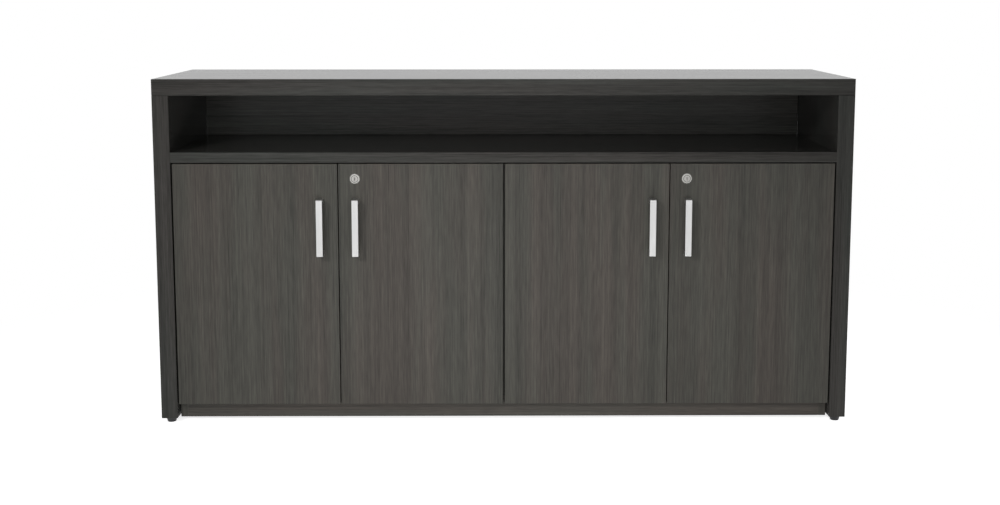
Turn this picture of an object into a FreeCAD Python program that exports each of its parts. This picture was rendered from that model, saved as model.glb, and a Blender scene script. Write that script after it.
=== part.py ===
import FreeCAD, Part
import math
import os

import Sketcher

# Office credenza: a waterfall frame (top on two end panels) round a carcass with four doors.
# Frame of the model: millimetres, +Z up, the doors face -Y, +X to the right as seen from the
# front. The origin is on the floor, under the middle of the whole object's box.

Vector = FreeCAD.Vector

# Driving dimensions, millimetres.
DIMENSIONS = {
    # the whole credenza; depth is that of the frame, without the handles
    "width": 1700,
    "depth": 430,
    "height": 856,
    # waterfall frame
    "top_thickness": 40,
    "end_thickness": 40,
    "end_clearance": 13,
    # open compartment and deck
    "compartment_height": 138,
    "deck_thickness": 25,
    "deck_end_gap": 0.2,
    # carcass
    "board_thickness": 18,
    "side_gap": 3,
    "carcass_clearance": 10,
    "bottom_height": 51,
    "rear_inset": 4,
    "back_thickness": 6,
    "back_inset": 14,
    "groove_depth": 8,
    "groove_play": 0.3,
    "rail_width": 80,
    "centre_foot_radius": 15,
    "centre_foot_rim": 4,
    "centre_foot_crown": 3,
    # shelves and their pins
    "shelf_setback": 25,
    "shelf_side_play": 1,
    "shelf_rear_play": 4,
    "shelf_pitch": 32,
    "shelf_first_hole": 302,
    "shelf_step": 1,
    "pin_row_front": 60,
    "pin_row_rear": 70,
    "pin_radius": 2.5,
    "pin_bore_play": 0.1,
    "pin_bore_depth": 10,
    "pin_reach": 8,
    # doors
    "door_thickness": 18,
    "door_back_gap": 4.5,
    "door_end_gap": 4,
    "door_pair_gap": 2.5,
    "door_centre_gap": 5,
    "door_top_gap": 3,
    "door_sill": 49,
    "bumper_radius": 4,
    "bumper_rim": 1.8,
    "bumper_tip_radius": 2.4,
    "bumper_inset": 9,
    "bumper_play": 0.3,
    # handles
    "handle_centres": 128,
    "handle_foot": 12,
    "handle_width": 15,
    "handle_bar": 6,
    "handle_projection": 28,
    "handle_corner": 4,
    "handle_inset": 42,
    "handle_drop": 155,
    "handle_screw_radius": 2,
    "handle_screw_grip": 14,
    "screw_play": 0.2,
    "screw_end_play": 1,
    "screw_head_radius": 4,
    "screw_head_height": 2.4,
    # cylinder locks
    "lock_inset": 40,
    "lock_drop": 36.6,
    "rosette_radius": 12.5,
    "rosette_height": 3,
    "barrel_radius": 9.5,
    "barrel_length": 26,
    "nut_radius": 13,
    "nut_height": 3,
    "plug_radius": 6.5,
    "plug_play": 0.05,
    "plug_recess": 1,
    "keyhole_width": 1.8,
    "keyhole_height": 8,
    "keyhole_depth": 16,
    "cam_thickness": 2.5,
    "cam_gap": 0.3,
    "cam_width": 14,
    "cam_reach": 46,
    "strike_depth": 9,
    "strike_length": 54,
    "strike_slot": 9,
    "strike_plate": 1.5,
    "strike_rim": 8,
    # concealed hinges: a pin in a cup, and an arm on a mounting plate
    "hinge_end": 100,
    "cup_radius": 17.5,
    "cup_play": 0.1,
    "cup_inset": 22.5,
    "cup_depth": 13,
    "cup_wall": 1,
    "flange_height": 1,
    "wing_length": 61,
    "wing_width": 13,
    "wing_offset": 1.5,
    "pivot_inset": 9.3,
    "pivot_setback": 8.6,
    "hinge_pin_radius": 1.5,
    "hinge_pin_length": 18,
    "hinge_play": 0.05,
    "knuckle_radius": 2.4,
    "knuckle_length": 12,
    "knuckle_gap": 0.2,
    "arm_thickness": 3.2,
    "arm_bend": 1.5,
    "arm_neck": 20.6,
    "arm_end": 88,
    "plate_height": 4,
    "plate_setback": 37,
    "plate_length": 48,
    "plate_wing_thickness": 1.6,
    "plate_wing_width": 15,
    "plate_wing_span": 46,
    "arm_screw_setback": 62,
    "arm_screw_radius": 3,
    # levelling feet
    "foot_setback": 22,
    "foot_stem_radius": 4,
    "foot_stem_length": 36,
    "foot_base_radius": 10.5,
    "foot_rim_radius": 12.5,
    "foot_rim_height": 5,
    "insert_radius": 6,
    "insert_length": 26,
    "insert_bore_depth": 42,
    "insert_play": 0.05,
    # carcass fittings
    "dowel_radius": 4,
    "dowel_length": 30,
    "dowel_play": 0.1,
    "dowel_inset": 70,
    "frame_screw_radius": 2.5,
    "frame_screw_length": 40,
    "frame_screw_inset": 60,
    "spacer_gap": 10,
    "spacer_width": 30,
}

# Places worked out from the driving dimensions.
LAYOUT = {
    "front": "-(dims.depth - dims.handle_projection) / 2",
    "rear": "front + dims.depth",
    "top_under": "dims.height - dims.top_thickness",
    "deck_top": "top_under - dims.compartment_height",
    "deck_under": "deck_top - dims.deck_thickness",
    "inner_half": "dims.width / 2 - dims.end_thickness",
    "side_out": "inner_half - dims.side_gap",
    "side_in": "side_out - dims.board_thickness",
    "deck_half": "inner_half - dims.deck_end_gap",
    "carcass_front": "front + dims.door_thickness + dims.door_back_gap",
    "carcass_rear": "rear - dims.rear_inset",
    "carcass_depth": "carcass_rear - carcass_front",
    "side_height": "deck_under - dims.carcass_clearance",
    "bottom_top": "dims.bottom_height + dims.board_thickness",
    "partition_face": "dims.board_thickness / 2",
    "bay_width": "side_in - partition_face",
    "bay_middle": "(side_in + partition_face) / 2",
    "back_place": "carcass_rear - dims.back_inset - dims.back_thickness",
    "door_top": "deck_under - dims.door_top_gap",
    "door_height": "door_top - dims.door_sill",
    "door_outer": "inner_half - dims.door_end_gap",
    "door_inner": "dims.door_centre_gap / 2",
    "door_width": "(door_outer - door_inner - dims.door_pair_gap) / 2",
    "side_overlay": "door_outer - side_in",
    "partition_overlay": "partition_face - door_inner",
    "hinge_low": "dims.hinge_end",
    "hinge_high": "door_height - dims.hinge_end",
    "shelf_hole": "dims.shelf_first_hole + dims.shelf_step * dims.shelf_pitch",
    "shelf_under": "shelf_hole + dims.pin_radius",
    "shelf_depth": "back_place - dims.shelf_rear_play - carcass_front - dims.shelf_setback",
    "end_middle": "dims.width / 2 - dims.end_thickness / 2",
    "foot_front": "front + dims.foot_setback",
    "foot_rear": "rear - dims.foot_setback",
    "cam_back": "dims.barrel_length + dims.cam_gap",
    "lock_height": "door_height - dims.lock_drop",
}

doc = FreeCAD.newDocument("Credenza")
NODES = []
BOARD_SIZES = {}
TOLERANCE = 1e-6


# ---------------------------------------------------------------- helpers


def fill_sheet(name, rows, formulas=False):
    """A spreadsheet with one aliased cell for each row."""
    sheet = doc.addObject("Spreadsheet::Sheet", name)
    for number, (alias, value) in enumerate(rows.items(), start=1):
        sheet.set(f"A{number}", alias)
        sheet.set(f"B{number}", f"={value}" if formulas else str(value))
        sheet.setAlias(f"B{number}", alias)
    doc.recompute()
    return sheet


def locate(thing, x="0", y="0", z="0", turned=False):
    """Places a thing, after half a turn about Y where it is turned."""
    if turned:
        half_turn = FreeCAD.Rotation(Vector(0, 1, 0), 180)
        thing.Placement = FreeCAD.Placement(Vector(), half_turn)
    for axis, formula in zip("xyz", (x, y, z)):
        thing.setExpression(f"Placement.Base.{axis}", formula)


def new_body(name, x="0", y="0", z="0", turned=False):
    body = doc.addObject("PartDesign::Body", name)
    body.Label = name
    locate(body, x, y, z, turned)
    return body


def new_sketch(body, plane="XY", offset="0"):
    """A sketch on one of the body's own origin planes, shifted along its normal."""
    sketch = body.newObject("Sketcher::SketchObject", f"{body.Name}_sketch")
    base = next(f for f in body.Origin.OriginFeatures if f.Role == f"{plane}_Plane")
    sketch.AttachmentSupport = [(base, "")]
    sketch.MapMode = "FlatFace"
    sketch.setExpression("AttachmentOffset.Base.z", offset)
    return sketch


def bind(sketch, kind, formula, *where):
    """A constraint whose value follows a formula."""
    number = sketch.addConstraint(Sketcher.Constraint(kind, *where, 1.0))
    sketch.setExpression(f"Constraints[{number}]", formula)


def fix_point(sketch, item, point, x, y):
    bind(sketch, "DistanceX", x, -1, 1, item, point)
    bind(sketch, "DistanceY", y, -1, 1, item, point)


def draw_outline(sketch, corners):
    """A closed outline of straight lines through corners given as pairs of formulas."""
    count = len(corners)
    starts = [Vector(math.cos(n), math.sin(n), 0) for n in range(count)]
    lines = [
        sketch.addGeometry(Part.LineSegment(starts[n], starts[(n + 1) % count]))
        for n in range(count)
    ]
    for n, line in enumerate(lines):
        after = lines[(n + 1) % count]
        sketch.addConstraint(Sketcher.Constraint("Coincident", line, 2, after, 1))
        fix_point(sketch, line, 1, *corners[n])


def draw_rectangle(sketch, x, y, long, tall):
    right, upper = f"{x} + {long}", f"{y} + {tall}"
    draw_outline(sketch, [(x, y), (right, y), (right, upper), (x, upper)])


def draw_circle(sketch, x, y, radius):
    circle = sketch.addGeometry(Part.Circle(Vector(1, 1, 0), Vector(0, 0, 1), 1.0))
    bind(sketch, "Radius", radius, circle)
    fix_point(sketch, circle, 3, x, y)


def feature(body, kind, sketch, length, reverse=False, middle=False):
    """A Pad or a Pocket of a sketch."""
    made = body.newObject(f"PartDesign::{kind}", f"{body.Name}_{kind}")
    made.Profile = sketch
    made.Reversed = reverse
    made.Midplane = middle
    made.setExpression("Length", length)
    return made


def revolve(body, sketch, axis="V_Axis"):
    """A Revolution of a sketch about one of its own axes."""
    made = body.newObject("PartDesign::Revolution", f"{body.Name}_Revolution")
    made.Profile = sketch
    made.ReferenceAxis = (sketch, [axis])
    made.Angle = 360


def round_edges(body, radius, wanted):
    """Rounds the edges that the function wanted picks from the body as it stands."""
    doc.recompute()
    tip = body.Tip
    names = [f"Edge{n}" for n, edge in enumerate(tip.Shape.Edges, start=1) if wanted(edge)]
    fillet = body.newObject("PartDesign::Fillet", f"{body.Name}_Fillet")
    fillet.Base = (tip, names)
    fillet.setExpression("Radius", radius)


def is_along(edge, axis):
    """Is this a straight edge along the axis given by its number?"""
    box = edge.BoundBox
    spans = [box.XLength, box.YLength, box.ZLength]
    return max(spans) == spans[axis] and sum(spans) - spans[axis] < TOLERANCE


def round_corners(body, radius, corners):
    """Rounds upright edges of the body at corners given as pairs of formulas."""
    spots = [Vector(*[body.evalExpression(formula) for formula in corner]) for corner in corners]

    def is_corner(edge):
        foot = Vector(edge.BoundBox.XMin, edge.BoundBox.YMin)
        return is_along(edge, 2) and any((foot - spot).Length < TOLERANCE for spot in spots)

    round_edges(body, radius, is_corner)


def face_sketch(body, face):
    """A sketch on one face of a board, and whether a pocket from it has to be reversed."""
    long, deep, tall = BOARD_SIZES[body.Name]
    plane, offset, reverse = {
        "left": ("YZ", "0", True),
        "right": ("YZ", long, False),
        "front": ("XZ", "0", False),
        "back": ("XZ", f"-({deep})", True),
        "bottom": ("XY", "0", True),
        "top": ("XY", tall, False),
    }[face]
    return new_sketch(body, plane, offset), reverse


def board(name, x, y, z, long, deep, tall):
    """A rectangular board as a node: its low corner, and its size along X, Y and Z."""
    body = new_body(name, x, y, z)
    BOARD_SIZES[body.Name] = (long, deep, tall)
    outline = new_sketch(body)
    draw_rectangle(outline, "0", "0", long, deep)
    feature(body, "Pad", outline, tall)
    NODES.append(body)
    return body


def drill(body, face, holes, radius, depth):
    """Blind holes in one face of a board, at pairs of formulas from its low corner."""
    sketch, reverse = face_sketch(body, face)
    for x, y in holes:
        draw_circle(sketch, x, y, radius)
    feature(body, "Pocket", sketch, depth, reverse)


def rout(body, face, x, y, long, tall, depth):
    """A straight groove or mortise in one face of a board."""
    sketch, reverse = face_sketch(body, face)
    draw_rectangle(sketch, x, y, long, tall)
    feature(body, "Pocket", sketch, depth, reverse)


def group(name, placed):
    """One node made of copies: pairs of a body and its place (x, y, z, turned)."""
    copies = []
    for number, (original, place) in enumerate(placed, start=1):
        copy = doc.addObject("App::Link", f"{name}_copy{number}")
        copy.LinkedObject = original
        locate(copy, *place)
        copies.append(copy)
    made = doc.addObject("Part::Compound", name)
    made.Label = name
    made.Links = copies
    NODES.append(made)
    return made


# ---------------------------------------------------------------- doors: which, and where

# Each door: its name, the sign of its side of the credenza, whether its hinges are on its
# right-hand edge, whether it hangs on a carcass side (or else on the partition), and whether
# it has the lock of its pair.
DOORS = [
    ("left_outer", -1, False, True, False),
    ("left_inner", -1, True, False, True),
    ("right_inner", 1, False, False, False),
    ("right_outer", 1, True, True, True),
]


def hinge_edge(side, on_carcass_side):
    """X of a door's hinged edge."""
    return f"{side} * layout.{'door_outer' if on_carcass_side else 'door_inner'}"


def inward(hinged_right, distance, edge):
    """X at a distance from the hinged edge, towards the door's free edge."""
    return f"{edge} {'-' if hinged_right else '+'} ({distance})"


def door_corner(side, hinged_right, edge):
    """X of the door's left-hand edge."""
    return inward(True, "layout.door_width", edge) if hinged_right else edge


def door_local(hinged_right, distance):
    """X within a door at a distance from its hinged edge."""
    return f"layout.door_width - ({distance})" if hinged_right else distance


HINGE_HEIGHTS = ["layout.hinge_low", "layout.hinge_high"]
SHELF_ROWS = ["dims.pin_row_front", "layout.back_place - layout.carcass_front - dims.pin_row_rear"]
SHELF_HOLES = 3


# ---------------------------------------------------------------- frame


def make_frame():
    top = board(
        "top_panel", "-dims.width / 2", "layout.front", "layout.top_under",
        "dims.width", "dims.depth", "dims.top_thickness",
    )
    height = "(layout.top_under - dims.end_clearance)"
    dowel_rows = ["dims.dowel_inset", "dims.depth - dims.dowel_inset"]
    middle = "dims.end_thickness / 2"
    for name, x, face in (
        ("left_end_panel", "-dims.width / 2", "right"),
        ("right_end_panel", "layout.inner_half", "left"),
    ):
        panel = board(
            name, x, "layout.front", "dims.end_clearance",
            "dims.end_thickness", "dims.depth", height,
        )
        drill(
            panel, "bottom",
            [(middle, "dims.foot_setback"), (middle, "dims.depth - dims.foot_setback")],
            "dims.insert_radius", "dims.insert_bore_depth",
        )
        drill(
            panel, "top", [(middle, row) for row in dowel_rows],
            "dims.dowel_radius + dims.dowel_play", "dims.dowel_length / 2",
        )
        drill(
            panel, face, FRAME_SCREW_SPOTS_IN_PANEL, "dims.frame_screw_radius",
            "dims.frame_screw_length - dims.board_thickness - dims.side_gap",
        )
    for middle_x in ("dims.end_thickness / 2", "dims.width - dims.end_thickness / 2"):
        drill(
            top, "bottom", [(middle_x, row) for row in dowel_rows],
            "dims.dowel_radius + dims.dowel_play", "dims.dowel_length / 2",
        )


# Screws through the carcass sides into the end panels: Y from the carcass's front edge and
# Z from the floor.
FRAME_SCREW_ROWS = ["dims.frame_screw_inset", "layout.carcass_depth - dims.frame_screw_inset"]
FRAME_SCREW_LEVELS = [
    "layout.bottom_top + dims.frame_screw_inset",
    "layout.deck_under - dims.frame_screw_inset",
]
FRAME_SCREW_SPOTS_IN_PANEL = [
    (f"layout.carcass_front - layout.front + {row}", f"{level} - dims.end_clearance")
    for row in FRAME_SCREW_ROWS
    for level in FRAME_SCREW_LEVELS
]


# ---------------------------------------------------------------- carcass


def make_carcass():
    groove_place = "layout.back_place - dims.groove_play / 2"
    groove_width = "dims.back_thickness + dims.groove_play"
    groove_in_side = f"({groove_place} - layout.carcass_front)"
    for name, x, face in (
        ("carcass_left_side", "-layout.side_out", "right"),
        ("carcass_right_side", "layout.side_in", "left"),
    ):
        side = board(
            name, x, "layout.carcass_front", "dims.carcass_clearance",
            "dims.board_thickness", "layout.carcass_depth", "layout.side_height",
        )
        groove_start = "(layout.bottom_top - dims.groove_depth - dims.carcass_clearance)"
        rout(
            side, face, groove_in_side, groove_start, groove_width,
            f"(layout.side_height - {groove_start})", "dims.groove_depth",
        )
        drill_pin_rows(side, face, "dims.carcass_clearance", "dims.pin_bore_depth")
        drill(
            side, face,
            [
                (row, f"{level} - dims.carcass_clearance")
                for row in FRAME_SCREW_ROWS
                for level in FRAME_SCREW_LEVELS
            ],
            "dims.frame_screw_radius", "dims.board_thickness",
        )

    partition = board(
        "centre_partition", "-layout.partition_face", "layout.carcass_front", "layout.bottom_top",
        "dims.board_thickness", "layout.carcass_depth", "(layout.deck_under - layout.bottom_top)",
    )
    for face in ("left", "right"):
        rout(
            partition, face, groove_in_side, "0", groove_width,
            "(layout.deck_under - layout.bottom_top)", "dims.groove_depth",
        )
    drill_pin_rows(partition, "left", "layout.bottom_top", "dims.board_thickness")

    bottom = board(
        "bottom_panel", "-layout.side_in", "layout.carcass_front", "dims.bottom_height",
        "2 * layout.side_in", "layout.carcass_depth", "dims.board_thickness",
    )
    rout(
        bottom, "top", "0", groove_in_side, "2 * layout.side_in", groove_width,
        "dims.groove_depth",
    )

    plinth_height = "dims.bottom_height - dims.carcass_clearance"
    board(
        "front_plinth", "-layout.side_in", "layout.carcass_front", "dims.carcass_clearance",
        "2 * layout.side_in", "dims.board_thickness", plinth_height,
    )
    board(
        "rear_plinth", "-layout.side_in", "layout.carcass_rear - dims.board_thickness",
        "dims.carcass_clearance", "2 * layout.side_in", "dims.board_thickness", plinth_height,
    )
    board(
        "plinth_cross_rail", "-dims.rail_width / 2", "layout.carcass_front + dims.board_thickness",
        "dims.bottom_height - dims.board_thickness",
        "dims.rail_width", "layout.carcass_depth - 2 * dims.board_thickness",
        "dims.board_thickness",
    )

    deck = board(
        "deck_panel", "-layout.deck_half", "layout.front", "layout.deck_under",
        "2 * layout.deck_half", "layout.carcass_rear - layout.front", "dims.deck_thickness",
    )
    groove_reach = "(layout.side_in + dims.groove_depth)"
    rout(
        deck, "bottom", f"layout.deck_half - {groove_reach}", f"{groove_place} - layout.front",
        f"2 * {groove_reach}", groove_width, "dims.groove_depth",
    )
    for name, side, hinged_right, on_side, locked in DOORS:
        if locked:
            edge = hinge_edge(side, on_side)
            centre = inward(hinged_right, "layout.door_width - dims.lock_inset", edge)
            rout(
                deck, "bottom",
                f"({centre} + layout.deck_half - dims.strike_length / 2)",
                "layout.cam_back - (dims.strike_slot - dims.cam_thickness) / 2",
                "dims.strike_length", "dims.strike_slot", "dims.strike_depth",
            )
            rout(
                deck, "bottom",
                f"({centre} + layout.deck_half - dims.strike_length / 2 - dims.strike_rim)",
                "layout.cam_back - (dims.strike_slot - dims.cam_thickness) / 2 - dims.strike_plate",
                "(dims.strike_length + 2 * dims.strike_rim)",
                "(dims.strike_slot + 2 * dims.strike_rim)", "dims.strike_plate",
            )

    board(
        "upper_back_panel", "-layout.deck_half", "layout.carcass_rear - dims.board_thickness",
        "layout.deck_top", "2 * layout.deck_half", "dims.board_thickness",
        "dims.compartment_height",
    )


def drill_pin_rows(panel, face, base, depth):
    """Two upright rows of shelf pin holes."""
    drill(
        panel, face, [(row, f"dims.shelf_first_hole - {base}") for row in SHELF_ROWS],
        "dims.pin_radius + dims.pin_bore_play", depth,
    )
    first = panel.Tip
    rows = panel.newObject("PartDesign::LinearPattern", f"{panel.Name}_pin_rows")
    rows.Originals = [first]
    rows.Direction = (first.Profile[0], ["V_Axis"])
    rows.setExpression("Length", f"dims.shelf_pitch * {SHELF_HOLES - 1}")
    rows.Occurrences = SHELF_HOLES
    panel.Tip = rows


def make_lower_backs():
    """The thin backs of the two bays, each in its grooves."""
    tongue = "(dims.groove_depth - dims.groove_play)"
    back = new_body("lower_back_sheet")
    outline = new_sketch(back, "XZ")
    draw_rectangle(
        outline, f"-layout.bay_width / 2 - {tongue}", f"-{tongue}",
        f"(layout.bay_width + 2 * {tongue})",
        f"(layout.deck_under - layout.bottom_top + 2 * {tongue})",
    )
    feature(back, "Pad", outline, "dims.back_thickness", reverse=True)
    group(
        "lower_back_panels",
        [
            (back, (f"{side} * layout.bay_middle", "layout.back_place", "layout.bottom_top"))
            for side in (-1, 1)
        ],
    )


def make_shelves():
    for name, x in (
        ("shelf_left", "-layout.side_in + dims.shelf_side_play"),
        ("shelf_right", "layout.partition_face + dims.shelf_side_play"),
    ):
        board(
            name, x, "layout.carcass_front + dims.shelf_setback", "layout.shelf_under",
            "layout.bay_width - 2 * dims.shelf_side_play", "layout.shelf_depth",
            "dims.board_thickness",
        )

    pin = new_body("shelf_pin")
    stem = new_sketch(pin, "YZ", "-dims.pin_reach")
    draw_circle(stem, "0", "0", "dims.pin_radius")
    feature(pin, "Pad", stem, "2 * dims.pin_reach")
    faces = ["-layout.side_in", "-layout.partition_face", "layout.partition_face", "layout.side_in"]
    group(
        "shelf_pins",
        [
            (pin, (face, f"layout.carcass_front + {row}", "layout.shelf_hole"))
            for face in faces
            for row in SHELF_ROWS
        ],
    )


# ---------------------------------------------------------------- doors


def make_door(name, side, hinged_right, on_side, locked):
    edge = hinge_edge(side, on_side)
    door = board(
        f"{name}_door", door_corner(side, hinged_right, edge), "layout.front", "dims.door_sill",
        "layout.door_width", "dims.door_thickness", "layout.door_height",
    )
    cup_x = door_local(hinged_right, "dims.cup_inset")
    drill(
        door, "back", [(cup_x, height) for height in HINGE_HEIGHTS],
        "dims.cup_radius", "dims.cup_depth",
    )
    handle_x = door_local(hinged_right, "layout.door_width - dims.handle_inset")
    handle_z = "layout.door_height - dims.handle_drop"
    drill(
        door, "front",
        [(handle_x, f"{handle_z} + {sign} * dims.handle_centres / 2") for sign in (-1, 1)],
        "dims.handle_screw_radius + dims.screw_play", "dims.door_thickness",
    )
    if locked:
        lock_x = door_local(hinged_right, "layout.door_width - dims.lock_inset")
        drill(
            door, "front", [(lock_x, "layout.lock_height")],
            "dims.barrel_radius + dims.screw_play", "dims.door_thickness",
        )


def make_handle(name, x, z):
    """A bow handle: a flat bar on two feet, rounded where it turns."""
    handle = new_body(name, x, "layout.front", z)
    half = "(dims.handle_centres + dims.handle_foot) / 2"
    inside = "(dims.handle_centres - dims.handle_foot) / 2"
    reach = "dims.handle_projection"
    outline = new_sketch(handle, "YZ", "-dims.handle_width / 2")
    draw_outline(
        outline,
        [
            ("0", f"-{half}"), ("0", f"-{inside}"), (f"-{reach} + dims.handle_bar", f"-{inside}"),
            (f"-{reach} + dims.handle_bar", inside), ("0", inside), ("0", half),
            (f"-{reach}", half), (f"-{reach}", f"-{half}"),
        ],
    )
    feature(handle, "Pad", outline, "dims.handle_width")
    sockets = new_sketch(handle, "XZ")
    for sign in (-1, 1):
        draw_circle(sockets, "0", f"{sign} * dims.handle_centres / 2", "dims.handle_screw_radius")
    feature(handle, "Pocket", sockets, "dims.handle_screw_grip", reverse=True)
    doc.recompute()
    front_plane = handle.Shape.BoundBox.YMin - handle.Placement.Base.y
    round_edges(
        handle, "dims.handle_corner",
        lambda edge: is_along(edge, 0) and abs(edge.BoundBox.YMin - front_plane) < 1e-6,
    )
    NODES.append(handle)


def make_screw(name, axis, radius, length):
    """A pan-headed screw along -X or -Y, with the underside of its head at the origin."""
    screw = new_body(name)
    head, crown = "dims.screw_head_radius", "dims.screw_head_height"
    half_section = [
        ("0", crown), (f"{head} - {crown} / 2", crown), (head, "0"),
        (radius, "0"), (radius, f"-({length})"), ("0", f"-({length})"),
    ]
    if axis == "X":
        profile = new_sketch(screw, "XZ")
        draw_outline(profile, [(along, out) for out, along in half_section])
        revolve(screw, profile, "H_Axis")
    else:
        profile = new_sketch(screw)
        draw_outline(profile, half_section)
        revolve(screw, profile)
    return screw


def make_door_fittings(name, side, hinged_right, on_side, handle_screw, cup, pin):
    edge = hinge_edge(side, on_side)
    handle_x = inward(hinged_right, "layout.door_width - dims.handle_inset", edge)
    handle_z = "(layout.door_top - dims.handle_drop)"
    make_handle(f"{name}_handle", handle_x, handle_z)

    back = "layout.front + dims.door_thickness"
    cup_x = inward(hinged_right, "dims.cup_inset", edge)
    pin_x = inward(hinged_right, "dims.pivot_inset", edge)
    levels = [f"dims.door_sill + {height}" for height in HINGE_HEIGHTS]
    group(
        f"{name}_door_screws",
        [
            (handle_screw, (handle_x, back, f"{handle_z} + {sign} * dims.handle_centres / 2"))
            for sign in (-1, 1)
        ],
    )
    group(
        f"{name}_hinge_cups",
        [(cup, (cup_x, "layout.front", level, hinged_right)) for level in levels],
    )
    group(
        f"{name}_hinge_pins",
        [(pin, (pin_x, "layout.front + dims.pivot_setback", level)) for level in levels],
    )


# ---------------------------------------------------------------- concealed hinges
# Drawn for a door hinged on its left: X runs inward from the door's hinged edge, Y back
# from the door's front face and Z up from the hinge's own middle.


def make_hinge_cup():
    """The cup, closed at its front, with bosses that hold the pin and a winged flange."""
    cup = new_body("hinge_cup")
    bore_front = "(dims.door_thickness - dims.cup_depth)"
    profile = new_sketch(cup)
    draw_outline(
        profile,
        [
            ("0", bore_front), ("dims.cup_radius - dims.cup_play", bore_front),
            ("dims.cup_radius - dims.cup_play", "dims.door_thickness + dims.flange_height"),
            ("0", "dims.door_thickness + dims.flange_height"),
        ],
    )
    revolve(cup, profile)

    wings = new_sketch(cup, "XZ", "-dims.door_thickness - dims.flange_height")
    draw_rectangle(
        wings, "dims.wing_offset", "-dims.wing_length / 2", "dims.wing_width", "dims.wing_length",
    )
    feature(cup, "Pad", wings, "dims.flange_height")

    hollow_depth = "dims.cup_depth - dims.cup_wall + dims.flange_height"
    slot_start = "(dims.pivot_inset - dims.cup_inset - dims.knuckle_radius - dims.knuckle_gap)"
    slot = new_sketch(cup, "XZ", "-dims.door_thickness - dims.flange_height")
    draw_rectangle(
        slot, slot_start, "-dims.knuckle_length / 2 - dims.knuckle_gap", f"(-{slot_start})",
        "(dims.knuckle_length + 2 * dims.knuckle_gap)",
    )
    feature(cup, "Pocket", slot, hollow_depth, reverse=True)

    hollow = new_sketch(cup, "XZ", "-dims.door_thickness - dims.flange_height")
    draw_half_moon(
        hollow, "dims.cup_radius - dims.cup_play - dims.cup_wall",
        "dims.pivot_inset - dims.cup_inset + dims.hinge_pin_radius + dims.cup_wall",
    )
    feature(cup, "Pocket", hollow, hollow_depth, reverse=True)

    bore = new_sketch(cup, "XY", "-dims.hinge_pin_length / 2")
    draw_circle(
        bore, "dims.pivot_inset - dims.cup_inset", "dims.pivot_setback", "dims.hinge_pin_radius",
    )
    feature(cup, "Pocket", bore, "dims.hinge_pin_length", reverse=True)
    return cup


def draw_half_moon(sketch, radius, chord):
    """The part of a circle about the origin that lies beyond a chord parallel to the Y axis."""
    turn = math.radians(135)  # a rough start, which the constraints below settle
    upper, lower = (Vector(math.cos(turn), sign * math.sin(turn), 0) for sign in (1, -1))
    circle = Part.Circle(Vector(), Vector(0, 0, 1), 1.0)
    arc = sketch.addGeometry(Part.ArcOfCircle(circle, -turn, turn))
    line = sketch.addGeometry(Part.LineSegment(upper, lower))
    sketch.addConstraint(Sketcher.Constraint("Coincident", arc, 3, -1, 1))
    sketch.addConstraint(Sketcher.Constraint("Coincident", arc, 2, line, 1))
    sketch.addConstraint(Sketcher.Constraint("Coincident", line, 2, arc, 1))
    sketch.addConstraint(Sketcher.Constraint("Vertical", line))
    bind(sketch, "Radius", radius, arc)
    bind(sketch, "DistanceX", chord, -1, 1, line, 1)


def make_hinge_pin():
    pin = new_body("hinge_pin")
    section = new_sketch(pin)
    draw_circle(section, "0", "0", "dims.hinge_pin_radius")
    feature(pin, "Pad", section, "dims.hinge_pin_length", middle=True)
    return pin


def make_hinge_arm(name, overlay):
    """The gooseneck arm, bent out of the cup, round into the carcass and along its plate."""
    arm = new_body(name)
    low = "(dims.pivot_setback - dims.knuckle_radius)"
    high = f"({low} + dims.arm_thickness)"
    neck = "dims.arm_neck"
    neck_far = "(dims.arm_neck + dims.arm_thickness)"
    seat = f"({overlay} + dims.plate_height)"
    seat_far = f"({seat} + dims.arm_thickness)"
    step = "(dims.door_thickness + dims.door_back_gap)"
    lower_step = f"({step} + dims.arm_thickness)"
    outline = new_sketch(arm)
    draw_outline(
        outline,
        [
            ("dims.pivot_inset", low), (neck_far, low), (neck_far, lower_step),
            (seat_far, f"{lower_step} + dims.arm_thickness"), (seat_far, "dims.arm_end"),
            (seat, "dims.arm_end"), (seat, step), (neck, f"{step} - dims.arm_thickness"),
            (neck, high), ("dims.pivot_inset", high),
        ],
    )
    feature(arm, "Pad", outline, "dims.knuckle_length", middle=True)
    round_corners(arm, "dims.arm_bend + dims.arm_thickness", [(neck_far, low)])
    slope = [
        (neck_far, lower_step), (seat_far, f"{lower_step} + dims.arm_thickness"),
        (seat, step), (neck, f"{step} - dims.arm_thickness"),
    ]
    round_corners(arm, "dims.arm_bend", [(neck, high)] + slope)
    knuckle = new_sketch(arm)
    draw_circle(knuckle, "dims.pivot_inset", "dims.pivot_setback", "dims.knuckle_radius")
    feature(arm, "Pad", knuckle, "dims.knuckle_length", middle=True)
    bore = new_sketch(arm)
    draw_circle(
        bore, "dims.pivot_inset", "dims.pivot_setback", "dims.hinge_pin_radius + dims.hinge_play",
    )
    feature(arm, "Pocket", bore, "dims.knuckle_length", middle=True)
    screw = new_sketch(arm, "YZ", seat_far)
    draw_circle(screw, "dims.arm_screw_setback", "0", "dims.arm_screw_radius")
    feature(arm, "Pocket", screw, "dims.arm_thickness")
    return arm


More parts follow.
